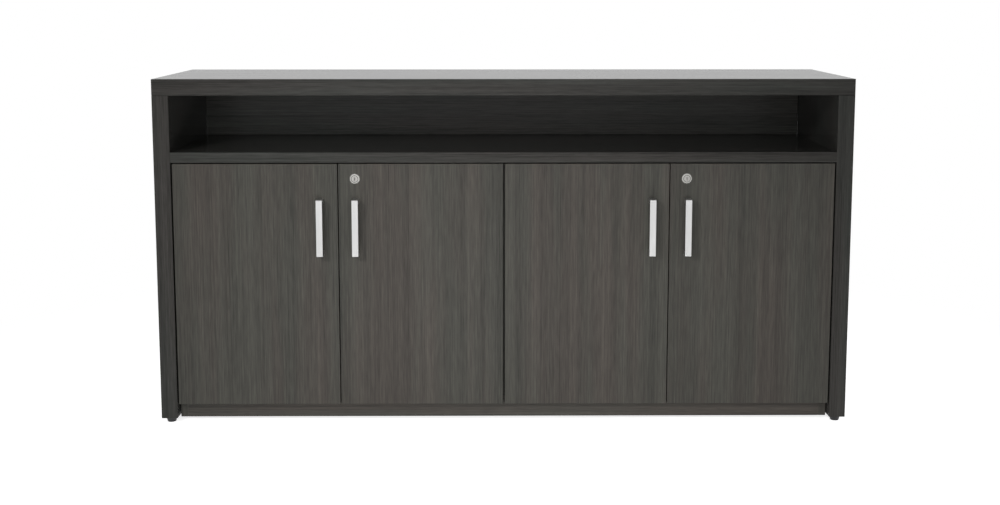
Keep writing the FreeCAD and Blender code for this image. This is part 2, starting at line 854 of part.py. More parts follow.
def make_mounting_plate():
    """The plate under an arm, from the face that it is screwed to (at X = 0)."""
    plate = new_body("hinge_plate")
    start = "(dims.door_thickness + dims.door_back_gap + dims.plate_setback)"
    wings = new_sketch(plate, "YZ")
    draw_rectangle(
        wings, f"{start} - dims.plate_wing_width / 2", "-dims.plate_wing_span / 2",
        "dims.plate_wing_width", "dims.plate_wing_span",
    )
    feature(plate, "Pad", wings, "dims.plate_wing_thickness")
    rib = new_sketch(plate, "YZ")
    draw_rectangle(
        rib, "dims.arm_end - dims.plate_length", "-dims.knuckle_length / 2",
        "dims.plate_length", "dims.knuckle_length",
    )
    feature(plate, "Pad", rib, "dims.plate_height")
    thread = new_sketch(plate, "YZ", "dims.plate_height")
    draw_circle(thread, "dims.arm_screw_setback", "0", "dims.arm_screw_radius")
    feature(plate, "Pocket", thread, "dims.plate_height")
    return plate


def make_hinges():
    arms = {
        True: make_hinge_arm("full_overlay_arm", "layout.side_overlay"),
        False: make_hinge_arm("half_overlay_arm", "layout.partition_overlay"),
    }
    plate = make_mounting_plate()
    arm_screw = make_screw(
        "arm_screw", "X", "dims.arm_screw_radius", "dims.arm_thickness + dims.plate_height",
    )
    placed = {"arms": [], "plates": [], "screws": []}
    for name, side, hinged_right, on_side, locked in DOORS:
        edge = hinge_edge(side, on_side)
        overlay = "layout.side_overlay" if on_side else "layout.partition_overlay"
        face = inward(hinged_right, overlay, edge)
        crown = inward(
            hinged_right, f"{overlay} + dims.plate_height + dims.arm_thickness", edge
        )
        for height in HINGE_HEIGHTS:
            level = f"dims.door_sill + {height}"
            placed["arms"].append((arms[on_side], (edge, "layout.front", level, hinged_right)))
            placed["plates"].append((plate, (face, "layout.front", level, hinged_right)))
            placed["screws"].append(
                (arm_screw, (crown, "layout.front + dims.arm_screw_setback", level, hinged_right))
            )
    group("hinge_arms", placed["arms"])
    group("hinge_plates", placed["plates"])
    group("hinge_screws", placed["screws"])


# ---------------------------------------------------------------- locks
# Drawn about the lock's own axis, which runs along Y from the door's front face.


def make_lock_body(name, x, z):
    """Rosette, barrel and rear nut, bored for the plug."""
    lock = new_body(name, x, "layout.front", z)
    profile = new_sketch(lock)
    bore = "dims.plug_radius + dims.plug_play"
    behind = "dims.door_thickness"
    nut_back = "(dims.door_thickness + dims.nut_height)"
    draw_outline(
        profile,
        [
            (bore, "-dims.rosette_height"),
            ("dims.rosette_radius - dims.rosette_height / 2", "-dims.rosette_height"),
            ("dims.rosette_radius", "-dims.rosette_height / 2"), ("dims.rosette_radius", "0"),
            ("dims.barrel_radius", "0"), ("dims.barrel_radius", behind),
            ("dims.nut_radius", behind), ("dims.nut_radius", nut_back),
            ("dims.barrel_radius", nut_back), ("dims.barrel_radius", "dims.barrel_length"),
            (bore, "dims.barrel_length"),
        ],
    )
    revolve(lock, profile)
    NODES.append(lock)


def make_lock_plug(name, x, z):
    """The turning plug with its upright keyhole."""
    plug = new_body(name, x, "layout.front", z)
    front = "(dims.plug_recess - dims.rosette_height)"
    profile = new_sketch(plug)
    draw_outline(
        profile,
        [
            ("0", front), ("dims.plug_radius", front), ("dims.plug_radius", "layout.cam_back"),
            ("0", "layout.cam_back"),
        ],
    )
    revolve(plug, profile)
    keyhole = new_sketch(plug, "XZ", f"-{front}")
    draw_rectangle(
        keyhole, "-dims.keyhole_width / 2", "-dims.keyhole_height / 2",
        "dims.keyhole_width", "dims.keyhole_height",
    )
    feature(plug, "Pocket", keyhole, "dims.keyhole_depth")
    NODES.append(plug)


def make_lock_cam(name, x, z):
    """The flat cam on the plug's rear; it points inward while the door is unlocked."""
    cam = new_body(name, x, "layout.front", z)
    half = "dims.cam_width / 2"
    back = "-layout.cam_back - dims.cam_thickness"
    outline = new_sketch(cam, "XZ", back)
    draw_rectangle(outline, "0", f"-{half}", f"(dims.cam_reach - {half})", "dims.cam_width")
    feature(cam, "Pad", outline, "dims.cam_thickness")
    for end in ("0", f"dims.cam_reach - {half}"):
        rounding = new_sketch(cam, "XZ", back)
        draw_circle(rounding, end, "0", half)
        feature(cam, "Pad", rounding, "dims.cam_thickness")
    NODES.append(cam)


def make_locks():
    spots = []
    for name, side, hinged_right, on_side, locked in DOORS:
        if not locked:
            continue
        edge = hinge_edge(side, on_side)
        x = inward(hinged_right, "layout.door_width - dims.lock_inset", edge)
        z = "dims.door_sill + layout.lock_height"
        make_lock_body(f"{name}_lock_body", x, z)
        make_lock_plug(f"{name}_lock_plug", x, z)
        make_lock_cam(f"{name}_lock_cam", x, z)
        spots.append(x)
    make_strikes(spots)


def make_strikes(spots):
    """Strike plates let into the deck's underside, with a slot for the cam."""
    strike = new_body("lock_strike")
    slot_y = "layout.cam_back - (dims.strike_slot - dims.cam_thickness) / 2"
    plate = new_sketch(strike)
    draw_rectangle(
        plate, "-dims.strike_length / 2 - dims.strike_rim", f"{slot_y} - dims.strike_plate",
        "(dims.strike_length + 2 * dims.strike_rim)",
        "(dims.strike_slot + 2 * dims.strike_rim)",
    )
    draw_rectangle(
        plate, "-dims.strike_length / 2", slot_y, "dims.strike_length", "dims.strike_slot",
    )
    feature(strike, "Pad", plate, "dims.strike_plate")
    group("lock_strikes", [(strike, (x, "layout.front", "layout.deck_under")) for x in spots])


# ---------------------------------------------------------------- feet and small fittings


def make_feet():
    """Levelling feet: a tapered base and a threaded stem that runs in an insert."""
    for end, x in (("left", "-layout.end_middle"), ("right", "layout.end_middle")):
        for row, y in (("front", "layout.foot_front"), ("rear", "layout.foot_rear")):
            foot = new_body(f"{end}_{row}_foot", x, y)
            profile = new_sketch(foot, "XZ")
            draw_outline(
                profile,
                [
                    ("0", "0"), ("dims.foot_base_radius", "0"),
                    ("dims.foot_rim_radius", "dims.end_clearance - dims.foot_rim_height"),
                    ("dims.foot_rim_radius", "dims.end_clearance"),
                    ("dims.foot_stem_radius", "dims.end_clearance"),
                    ("dims.foot_stem_radius", "dims.end_clearance + dims.foot_stem_length"),
                    ("0", "dims.end_clearance + dims.foot_stem_length"),
                ],
            )
            revolve(foot, profile)
            NODES.append(foot)

    insert = new_body("foot_insert")
    sleeve = new_sketch(insert)
    draw_circle(sleeve, "0", "0", "dims.insert_radius")
    draw_circle(sleeve, "0", "0", "dims.foot_stem_radius + dims.insert_play")
    feature(insert, "Pad", sleeve, "dims.insert_length")
    group(
        "foot_inserts",
        [
            (insert, (f"{side} * layout.end_middle", y, "dims.end_clearance"))
            for side in (-1, 1)
            for y in ("layout.foot_front", "layout.foot_rear")
        ],
    )

    centre_foot = new_body("centre_foot")
    profile = new_sketch(centre_foot, "XZ")
    draw_outline(
        profile,
        [
            ("0", "0"), ("dims.centre_foot_radius", "0"),
            ("dims.centre_foot_radius", "dims.centre_foot_rim"),
            ("dims.foot_stem_radius", "dims.centre_foot_rim + dims.centre_foot_crown"),
            ("dims.foot_stem_radius", "dims.bottom_height - dims.board_thickness"),
            ("0", "dims.bottom_height - dims.board_thickness"),
        ],
    )
    revolve(centre_foot, profile)
    rows = ["layout.carcass_front + dims.rail_width", "layout.carcass_rear - dims.rail_width"]
    group("centre_feet", [(centre_foot, ("0", y, "0")) for y in rows])


def make_bumpers():
    """Rubber bumpers on the deck side of the carcass, where the doors' top corners land."""
    bumper = new_body("door_bumper")
    profile = new_sketch(bumper)
    draw_outline(
        profile,
        [
            ("0", "dims.bumper_play - dims.door_back_gap"),
            ("dims.bumper_tip_radius", "dims.bumper_play - dims.door_back_gap"),
            ("dims.bumper_radius", "-dims.bumper_rim"), ("dims.bumper_radius", "0"),
            ("0", "0"),
        ],
    )
    revolve(bumper, profile)
    level = "dims.bottom_height + dims.board_thickness / 2"
    spots = []
    for name, side, hinged_right, on_side, locked in DOORS:
        edge = hinge_edge(side, on_side)
        x = inward(hinged_right, "layout.door_width - dims.bumper_inset", edge)
        spots.append((bumper, (x, "layout.carcass_front", level)))
    group("door_bumpers", spots)


def make_carcass_fittings():
    """Dowels of the frame, and the screws and upright laths that hold the carcass in it."""
    dowel = new_body("dowel")
    section = new_sketch(dowel)
    draw_circle(section, "0", "0", "dims.dowel_radius")
    feature(dowel, "Pad", section, "dims.dowel_length", middle=True)
    group(
        "frame_dowels",
        [
            (dowel, (f"{side} * layout.end_middle", y, "layout.top_under"))
            for side in (-1, 1)
            for y in ("layout.front + dims.dowel_inset", "layout.rear - dims.dowel_inset")
        ],
    )

    screw = make_screw("frame_screw", "X", "dims.frame_screw_radius", "dims.frame_screw_length")
    spots = [
        (f"layout.carcass_front + {row}", level)
        for row in FRAME_SCREW_ROWS
        for level in FRAME_SCREW_LEVELS
    ]
    group(
        "carcass_screws",
        [(screw, ("-layout.side_in", y, z)) for y, z in spots]
        + [(screw, ("layout.side_in", y, z, True)) for y, z in spots],
    )

    spacer = new_body("side_spacer")
    section = new_sketch(spacer)
    draw_rectangle(section, "0", "0", "dims.side_gap", "dims.spacer_width")
    feature(spacer, "Pad", section, "layout.side_height - dims.frame_screw_inset")
    beside = "dims.frame_screw_inset + dims.spacer_gap"
    rows = [
        f"layout.carcass_front + {beside}",
        f"layout.carcass_rear - ({beside}) - dims.spacer_width",
    ]
    group(
        "side_spacers",
        [
            (spacer, (x, y, "dims.bottom_height"))
            for x in ("-layout.inner_half", "layout.side_out")
            for y in rows
        ],
    )


# ---------------------------------------------------------------- build


def build():
    fill_sheet("dims", DIMENSIONS)
    fill_sheet("layout", LAYOUT, formulas=True)
    make_frame()
    make_carcass()
    make_lower_backs()
    make_shelves()
    fittings = {
        "handle_screw": make_screw(
            "handle_screw", "Y", "dims.handle_screw_radius",
            "dims.door_thickness + dims.handle_screw_grip - dims.screw_end_play",
        ),
        "cup": make_hinge_cup(),
        "pin": make_hinge_pin(),
    }
    for name, side, hinged_right, on_side, locked in DOORS:
        make_door(name, side, hinged_right, on_side, locked)
        make_door_fittings(name, side, hinged_right, on_side, **fittings)
    make_hinges()
    make_locks()
    make_feet()
    make_bumpers()
    make_carcass_fittings()
    doc.recompute()


def check_document():
    """Stops the build where a feature failed, cut nothing or left no valid solid."""
    for item in doc.Objects:
        if any(word in ("Invalid", "Error") for word in item.State):
            raise RuntimeError(f"{item.Name} is not valid: {item.State}")
        if item.TypeId in ("PartDesign::Pocket", "PartDesign::Groove"):
            if item.BaseFeature.Shape.Volume - item.Shape.Volume < 1e-3:
                raise RuntimeError(f"{item.Name} removes nothing")
    for node in NODES:
        if node.Shape.isNull() or not node.Shape.isValid() or not node.Shape.Solids:
            raise RuntimeError(f"{node.Label} has no valid solid")


def write_nodes():
    os.makedirs("parts", exist_ok=True)
    for node in NODES:
        node.Shape.exportStep(os.path.join("parts", f"{node.Label}.step"))


build()
check_document()
write_nodes()
print(len(NODES), "nodes written")
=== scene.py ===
"""Office credenza: the finishes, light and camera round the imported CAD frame.

Metres. +X is to the right as seen from the front, the doors face -Y and +Z is up.
"""

import math

import bmesh
import bpy
from mathutils import Matrix, Vector


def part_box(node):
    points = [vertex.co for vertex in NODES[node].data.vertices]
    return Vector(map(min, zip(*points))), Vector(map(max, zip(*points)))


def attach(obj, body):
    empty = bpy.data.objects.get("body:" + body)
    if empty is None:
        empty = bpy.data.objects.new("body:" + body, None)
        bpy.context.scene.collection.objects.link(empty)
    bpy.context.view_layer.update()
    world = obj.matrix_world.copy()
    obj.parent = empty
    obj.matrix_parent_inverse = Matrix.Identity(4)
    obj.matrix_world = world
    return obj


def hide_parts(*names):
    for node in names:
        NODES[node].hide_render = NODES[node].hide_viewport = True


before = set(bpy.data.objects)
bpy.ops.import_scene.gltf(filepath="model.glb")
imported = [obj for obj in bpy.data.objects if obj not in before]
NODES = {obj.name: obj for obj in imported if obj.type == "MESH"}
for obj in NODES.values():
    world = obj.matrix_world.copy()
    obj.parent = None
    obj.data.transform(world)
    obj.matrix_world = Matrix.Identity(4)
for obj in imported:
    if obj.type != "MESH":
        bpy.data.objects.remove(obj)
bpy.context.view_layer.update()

DOORS = ("left_outer", "left_inner", "right_inner", "right_outer")
HINGED_ON_THE_LEFT = ("left_outer", "right_inner")
LOCKED_DOORS = ("left_inner", "right_outer")
FEET = ("left_front", "left_rear", "right_front", "right_rear")
WHITE = (1.0, 1.0, 1.0, 1.0)


# ---------------------------------------------------------------- node trees


class Finish:
    """One procedural material, with short calls that build its node tree."""

    def __init__(self, name):
        self.material = bpy.data.materials.new(name)
        self.material.use_nodes = True
        self.tree = self.material.node_tree
        self.shader = self.tree.nodes["Principled BSDF"]
        self.place = self.node("TexCoord").outputs["Object"]

    def node(self, kind, inputs=None, **settings):
        made = self.tree.nodes.new(f"ShaderNode{kind}")
        for name, value in settings.items():
            setattr(made, name, value)
        for name, value in (inputs or {}).items():
            self.feed(made.inputs[name], value)
        return made

    def feed(self, socket, value):
        """Links a socket to an output, or sets its plain value."""
        if isinstance(value, bpy.types.NodeSocket):
            self.tree.links.new(value, socket)
        else:
            socket.default_value = value

    def math(self, operation, first, second=0.0):
        made = self.node("Math", operation=operation)
        self.feed(made.inputs[0], first)
        self.feed(made.inputs[1], second)
        return made.outputs[0]

    def vector(self, operation, *values):
        """A vector node. Its result is in the output called Vector, or Value for a number."""
        made = self.node("VectorMath", operation=operation)
        for socket, value in zip(made.inputs, values):
            self.feed(socket, value)
        return made

    def mix(self, factor, first, second, blend="MIX"):
        """Mixes two colours."""
        made = self.node("Mix", data_type="RGBA", blend_type=blend)
        sockets = {socket.identifier: socket for socket in made.inputs}
        self.feed(sockets["Factor_Float"], factor)
        self.feed(sockets["A_Color"], first)
        self.feed(sockets["B_Color"], second)
        return next(out for out in made.outputs if out.identifier == "Result_Color")

    def remap(self, value, low, high, new_low=0.0, new_high=1.0):
        made = self.node(
            "MapRange",
            {"From Min": low, "From Max": high, "To Min": new_low, "To Max": new_high},
        )
        self.feed(made.inputs["Value"], value)
        return made.outputs["Result"]

    def noise(self, frequencies, shift=(0.0, 0.0, 0.0), detail=2.0):
        """A noise field with its own number of waves per metre along each axis."""
        mapping = self.node(
            "Mapping", {"Vector": self.place, "Scale": frequencies, "Location": shift}
        )
        made = self.node(
            "TexNoise", {"Vector": mapping.outputs["Vector"], "Scale": 1.0, "Detail": detail}
        )
        return made.outputs["Fac"]

    def bump(self, height, distance, strength):
        made = self.node("Bump", {"Height": height, "Distance": distance, "Strength": strength})
        self.feed(self.shader.inputs["Normal"], made.outputs["Normal"])

    def set(self, **values):
        """Sets the shader's own sockets; an underscore stands for a blank in a socket's name."""
        for name, value in values.items():
            self.feed(self.shader.inputs[name.replace("_", " ")], value)


# ---------------------------------------------------------------- materials

# Waves per metre across and along the printed grain, and the detail of the noise.
HUE_FIELD = (18.0, 1.2, 2.0)
BAND_FIELD = (42.0, 0.6, 1.0)
STREAK_FIELD = (320.0, 2.0, 1.0)
FLECK_FIELD = (380.0, 20.0, 1.0)
PORE_FIELD = (1500.0, 45.0, 1.0)
SEED_STEP = (3.1, 5.7, 2.3)

# How much of its noise each layer adds to the tone between the dark and the light colour. Both
# the noise and the tone have their middle at the same value.
BAND_WEIGHT = 0.75
STREAK_WEIGHT = 0.95
FLECK_WEIGHT = 0.95
MIDDLE = 0.5

# The part of a noise field that is spread over the whole change it makes.
HUE_SPAN = (0.38, 0.62)
PORE_SPAN = (0.60, 0.72)
COLOUR_SPAN = (0.35, 0.65)
GLOSS_SPAN = (0.3, 0.7)

BROWNISH = (1.09, 0.98, 0.95, 1.0)
GREENISH = (0.95, 1.0, 0.95, 1.0)
PORE_TINT = (0.62, 0.6, 0.58, 1.0)
PORE_DEPTH = 0.55
FLECK_RELIEF = 0.4

# Waves per metre of the other fields: across and along brushed lines, by axis, or on every axis.
BRUSHED_LINE = (2600.0, 30.0)
BRUSHED_CLOUD = (60.0, 60.0, 25.0)
PEEL_WAVES = 450.0
CLOUD_WAVES = 18.0
FLOOR_WAVES = 14.0

# The second colour of a finish, as a share of the first one.
BRUSHED_SHADE = 0.93
PLATED_SHADE = 0.88
MOULDED_SHADE = 1.35
FLOOR_SHADE = 0.985

# A dark ring of painted shade on the lock's plate, standing for a turned groove that the shape
# doesn't have.
PAINTED_GROOVE_SHADE = (0.30, 0.30, 0.30, 1.0)
PAINTED_GROOVE_RADIUS = 0.0082
PAINTED_GROOVE_WIDTH = 0.0016


def grain_frequencies(direction, across, along):
    """Waves per metre on the three axes, for grain that runs along one of them."""
    return tuple(along if axis == direction else across for axis in "xyz")


def shaded(colour, share):
    """A colour with its red, green and blue multiplied by a share."""
    return tuple(share * value for value in colour[:3]) + (1.0,)


def laminate(name, direction, dark, light, seed, rough=(0.44, 0.54), shine=0.20, tint=0.6):
    """Melamine board printed with straight, fine wood grain that runs along one axis."""
    finish = Finish(name)
    shift = tuple(seed * step for step in SEED_STEP)

    def field(across, along, detail):
        return finish.noise(grain_frequencies(direction, across, along), shift, detail)

    hue = field(*HUE_FIELD)
    band = field(*BAND_FIELD)
    streak = field(*STREAK_FIELD)
    fleck = field(*FLECK_FIELD)
    pore = finish.remap(field(*PORE_FIELD), *PORE_SPAN)

    tone = MIDDLE
    for layer, weight in ((band, BAND_WEIGHT), (streak, STREAK_WEIGHT), (fleck, FLECK_WEIGHT)):
        swing = finish.math("MULTIPLY", finish.math("SUBTRACT", layer, MIDDLE), weight)
        tone = finish.math("ADD", swing, tone)
    colour = finish.mix(tone, dark, light)
    cast = finish.mix(finish.remap(hue, *HUE_SPAN), GREENISH, BROWNISH)
    colour = finish.mix(tint, colour, finish.mix(1.0, colour, cast, "MULTIPLY"))
    in_pores = finish.mix(1.0, colour, PORE_TINT, "MULTIPLY")
    colour = finish.mix(finish.math("MULTIPLY", pore, PORE_DEPTH), colour, in_pores)
    sheen = finish.remap(streak, *GLOSS_SPAN, *rough)
    height = finish.math("SUBTRACT", finish.math("MULTIPLY", fleck, FLECK_RELIEF), pore)
    finish.bump(height, distance=0.00006, strength=0.6)
    finish.set(Base_Color=colour, Roughness=sheen, Specular_IOR_Level=shine)
    return finish.material


def brushed_metal(name, direction, colour, rough):
    """Metal with fine lines brushed along one axis."""
    finish = Finish(name)
    line = finish.noise(grain_frequencies(direction, *BRUSHED_LINE))
    cloud = finish.noise(BRUSHED_CLOUD)
    both = finish.math("MULTIPLY", finish.math("ADD", line, cloud), 0.5)
    darker = shaded(colour, BRUSHED_SHADE)
    finish.set(
        Base_Color=finish.mix(finish.remap(both, *COLOUR_SPAN), darker, colour),
        Roughness=finish.remap(both, *GLOSS_SPAN, rough * 0.8, rough * 1.2),
        Metallic=1.0,
    )
    finish.bump(line, distance=0.00001, strength=0.5)
    return finish.material


def on_circle(finish, centre, radius, width):
    """1 on a circle round an axis along Y, and 0 from a width away from it."""
    flat = finish.vector("MULTIPLY", finish.place, (1.0, 0.0, 1.0))
    reach = finish.vector("DISTANCE", flat.outputs["Vector"], (centre[0], 0.0, centre[2]))
    off = finish.math("ABSOLUTE", finish.math("SUBTRACT", reach.outputs["Value"], radius))
    return finish.remap(off, 0.0, width, 1.0, 0.0)


def plated_metal(name, colour, rough, painted_groove_centre=None):
    """Plated metal with a faint orange peel, and a dark ring of painted shade round a centre,
    where a turned groove would be.
    """
    finish = Finish(name)
    peel = finish.noise((PEEL_WAVES, PEEL_WAVES, PEEL_WAVES), detail=3.0)
    colour = finish.mix(finish.remap(peel, *COLOUR_SPAN), shaded(colour, PLATED_SHADE), colour)
    if painted_groove_centre:
        # Painted shade: the colour is darkened on a ring, as if shaded in a groove.
        painted_groove_colour = finish.mix(1.0, colour, PAINTED_GROOVE_SHADE, "MULTIPLY")
        on_painted_groove = on_circle(finish, painted_groove_centre, PAINTED_GROOVE_RADIUS, PAINTED_GROOVE_WIDTH)
        colour = finish.mix(on_painted_groove, colour, painted_groove_colour)
    finish.set(
        Base_Color=colour,
        Roughness=finish.remap(peel, *GLOSS_SPAN, rough * 0.75, rough * 1.3),
        Metallic=1.0,
    )
    finish.bump(peel, distance=0.00002, strength=0.4)
    return finish.material


def moulded(name, colour, rough, grain=900.0, relief=0.00005):
    """Plastic, rubber or painted board with a fine moulded texture."""
    finish = Finish(name)
    speck = finish.noise((grain, grain, grain), detail=3.0)
    cloud = finish.noise((CLOUD_WAVES, CLOUD_WAVES, CLOUD_WAVES))
    both = finish.math("MULTIPLY", finish.math("ADD", speck, cloud), 0.5)
    lighter = shaded(colour, MOULDED_SHADE)
    finish.set(
        Base_Color=finish.mix(finish.remap(both, *COLOUR_SPAN), colour, lighter),
        Roughness=finish.remap(speck, *GLOSS_SPAN, rough - 0.06, rough + 0.06),
        Specular_IOR_Level=0.4,
    )
    finish.bump(speck, distance=relief, strength=0.5)
    return finish.material


# ---------------------------------------------------------------- what each node is made of

FRAME_DARK = (0.0150, 0.0151, 0.0141, 1.0)
FRAME_LIGHT = (0.0450, 0.0452, 0.0425, 1.0)
# The upper back panel is the frame's laminate with its colours painted lighter: painted light in
# the shaded compartment.
BACK_DARK_PAINTED_LIGHTER = (0.0210, 0.0212, 0.0198, 1.0)
BACK_LIGHT_PAINTED_LIGHTER = (0.0630, 0.0633, 0.0595, 1.0)
DOOR_DARK = (0.024, 0.0230, 0.0207, 1.0)
DOOR_LIGHT = (0.064, 0.0605, 0.0536, 1.0)
BEECH_DARK = (0.42, 0.27, 0.15, 1.0)
BEECH_LIGHT = (0.58, 0.41, 0.25, 1.0)
FRAME_GLOSS = {"rough": (0.18, 0.24), "shine": 0.12}

ALUMINIUM = (0.63, 0.63, 0.625, 1.0)
NICKEL = (0.48, 0.475, 0.45, 1.0)
CYLINDER = (0.43, 0.42, 0.40, 1.0)
STEEL = (0.66, 0.65, 0.63, 1.0)
ZINC = (0.52, 0.53, 0.55, 1.0)
BLACK = (0.012, 0.012, 0.013, 1.0)
HARDBOARD = (0.035, 0.034, 0.032, 1.0)
RUBBER = (0.045, 0.045, 0.045, 1.0)


def dress(material, *names):
    """Gives CAD nodes their finish."""
    for name in names:
        slots = NODES[name].data.materials
        slots.clear()
        slots.append(material)


def dress_boards():
    """The grain runs along each board's length, as the printed paper is laid."""
    frame_paper = (FRAME_DARK, FRAME_LIGHT)
    back_paper_painted_lighter = (BACK_DARK_PAINTED_LIGHTER, BACK_LIGHT_PAINTED_LIGHTER)
    door_paper = (DOOR_DARK, DOOR_LIGHT)
    frame_level = laminate("frame_grain_level", "x", *frame_paper, seed=1.0, **FRAME_GLOSS)
    frame_upright = laminate("frame_grain_upright", "z", *frame_paper, seed=2.0, **FRAME_GLOSS)
    # A lighter copy of the frame laminate, painted light for the upper back panel in the shaded
    # compartment.
    back_level_painted_lighter = laminate("back_grain_level", "x", *back_paper_painted_lighter, seed=7.0, **FRAME_GLOSS)
    door_upright = laminate("door_grain_upright", "z", *door_paper, seed=3.0)
    door_level = laminate("door_grain_level", "x", *door_paper, seed=4.0)
    door_deep = laminate("door_grain_deep", "y", *door_paper, seed=5.0)
    dress(frame_level, "top_panel", "deck_panel")
    dress(back_level_painted_lighter, "upper_back_panel")
    dress(frame_upright, "left_end_panel", "right_end_panel")
    dress(door_upright, *[f"{name}_door" for name in DOORS])
    dress(door_upright, "carcass_left_side", "carcass_right_side", "centre_partition")
    dress(door_level, "bottom_panel", "shelf_left", "shelf_right", "front_plinth", "rear_plinth")
    dress(door_deep, "plinth_cross_rail")


def dress_fittings():
    aluminium = brushed_metal("satin_aluminium", "z", ALUMINIUM, rough=0.33)
    cylinder = plated_metal("lock_cylinder", CYLINDER, rough=0.30)
    steel = plated_metal("nickelled_steel", STEEL, rough=0.26)
    zinc = plated_metal("zinc_plate", ZINC, rough=0.38)
    black = moulded("black_plastic", BLACK, rough=0.45)
    hardboard = moulded("grey_hardboard", HARDBOARD, rough=0.6, grain=240.0, relief=0.00012)
    rubber = moulded("soft_rubber", RUBBER, rough=0.55)
    beech = laminate("beech_dowel", "z", BEECH_DARK, BEECH_LIGHT, seed=6.0)
    for name in DOORS:
        dress(aluminium, f"{name}_handle")
        dress(steel, f"{name}_hinge_cups", f"{name}_hinge_pins")
        dress(zinc, f"{name}_door_screws")
    for name in LOCKED_DOORS:
        low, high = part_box(f"{name}_lock_plug")
        centre = [(start + end) / 2 for start, end in zip(low, high)]
        nickel = plated_metal(f"{name}_lock_nickel", NICKEL, rough=0.22, painted_groove_centre=centre)
        dress(nickel, f"{name}_lock_body")
        dress(cylinder, f"{name}_lock_plug")
        dress(zinc, f"{name}_lock_cam")
    dress(steel, "hinge_plates", "hinge_arms", "hinge_screws", "shelf_pins")
    dress(zinc, "lock_strikes", "carcass_screws", "foot_inserts")
    dress(black, "centre_feet", *[f"{name}_foot" for name in FEET])
    dress(hardboard, "lower_back_panels", "side_spacers")
    dress(rubber, "door_bumpers")
    dress(beech, "frame_dowels")


# ---------------------------------------------------------------- softened edges

BOARD_EDGE = 0.0009
HANDLE_EDGE = 0.0005
EDGE_STEPS = 3
SHORTEST_EDGE = 0.004
SHORTEST_DECK_EDGE = 0.1
SHARP = math.radians(50)
FLAT = math.radians(0.5)
SAME_PLACE = 1e-6
WEIGHT = "rounding"


def outline_marker(shortest):
    """A node group that marks the sharp edges over a length.

    The rims of holes are made of shorter edges, and stay unmarked.
    """
    tree = bpy.data.node_groups.new("outline_marker", "GeometryNodeTree")
    for in_out in ("INPUT", "OUTPUT"):
        tree.interface.new_socket("Geometry", in_out=in_out, socket_type="NodeSocketGeometry")

    def node(kind):
        return tree.nodes.new(kind)

    def compare(value, least):
        test = node("FunctionNodeCompare")
        test.operation = "GREATER_THAN"
        tree.links.new(value, test.inputs[0])
        test.inputs[1].default_value = least
        return test.outputs[0]

    ends = node("GeometryNodeInputMeshEdgeVertices")
    length = node("ShaderNodeVectorMath")
    length.operation = "DISTANCE"
    tree.links.new(ends.outputs["Position 1"], length.inputs[0])
    tree.links.new(ends.outputs["Position 2"], length.inputs[1])
    angle = node("GeometryNodeInputMeshEdgeAngle")
    both = node("FunctionNodeBooleanMath")
    tree.links.new(compare(length.outputs["Value"], shortest), both.inputs[0])
    tree.links.new(compare(angle.outputs["Unsigned Angle"], SHARP), both.inputs[1])
    store = node("GeometryNodeStoreNamedAttribute")
    store.data_type = "FLOAT"
    store.domain = "EDGE"
    store.inputs["Name"].default_value = WEIGHT
    tree.links.new(both.outputs[0], store.inputs["Value"])
    tree.links.new(node("NodeGroupInput").outputs[0], store.inputs["Geometry"])
    tree.links.new(store.outputs[0], node("NodeGroupOutput").inputs[0])
    return tree


def soften(name, width, marker):
    """Rounds the outline edges of a CAD node a little."""
    modifiers = NODES[name].modifiers
    weld = modifiers.new("weld", "WELD")
    weld.merge_threshold = SAME_PLACE
    flatten = modifiers.new("flatten", "DECIMATE")
    flatten.decimate_type = "DISSOLVE"
    flatten.angle_limit = FLAT
    mark = modifiers.new("mark", "NODES")
    mark.node_group = marker
    bevel = modifiers.new("bevel", "BEVEL")
    bevel.width = width
    bevel.segments = EDGE_STEPS
    bevel.limit_method = "WEIGHT"
    bevel.edge_weight = WEIGHT
    bevel.use_clamp_overlap = False


def soften_edges():
    marker = outline_marker(SHORTEST_EDGE)
    boards = [
        "top_panel", "left_end_panel", "right_end_panel", "front_plinth",
        "rear_plinth", "bottom_panel", "carcass_left_side", "carcass_right_side",
        "centre_partition", "shelf_left", "shelf_right", "upper_back_panel",
    ]
    for name in boards + [f"{name}_door" for name in DOORS]:
        soften(name, BOARD_EDGE, marker)
    # The edges of the strikes' recesses under the deck are shorter than its own, and stay sharp.
    soften("deck_panel", BOARD_EDGE, outline_marker(SHORTEST_DECK_EDGE))
    for name in DOORS:
        soften(f"{name}_handle", HANDLE_EDGE, marker)


# ---------------------------------------------------------------- cross-recessed screws

SCREW_SIDES = 24
# The head's outline from its underside up, as shares of its radius and of its height.
HEAD_OUTLINE = ((1.0, 0.0), (0.97, 0.45), (0.82, 0.82), (0.7, 1.0))
# The recess: half its length and half its width by the head's radius, its depth by the height.
RECESS_ARM = 0.62
RECESS_WIDTH = 0.17
RECESS_DEPTH = 0.55


def add_object(name, data):
    """Puts a new object into the scene."""
    made = bpy.data.objects.new(name, data)
    bpy.context.scene.collection.objects.link(made)
    return made


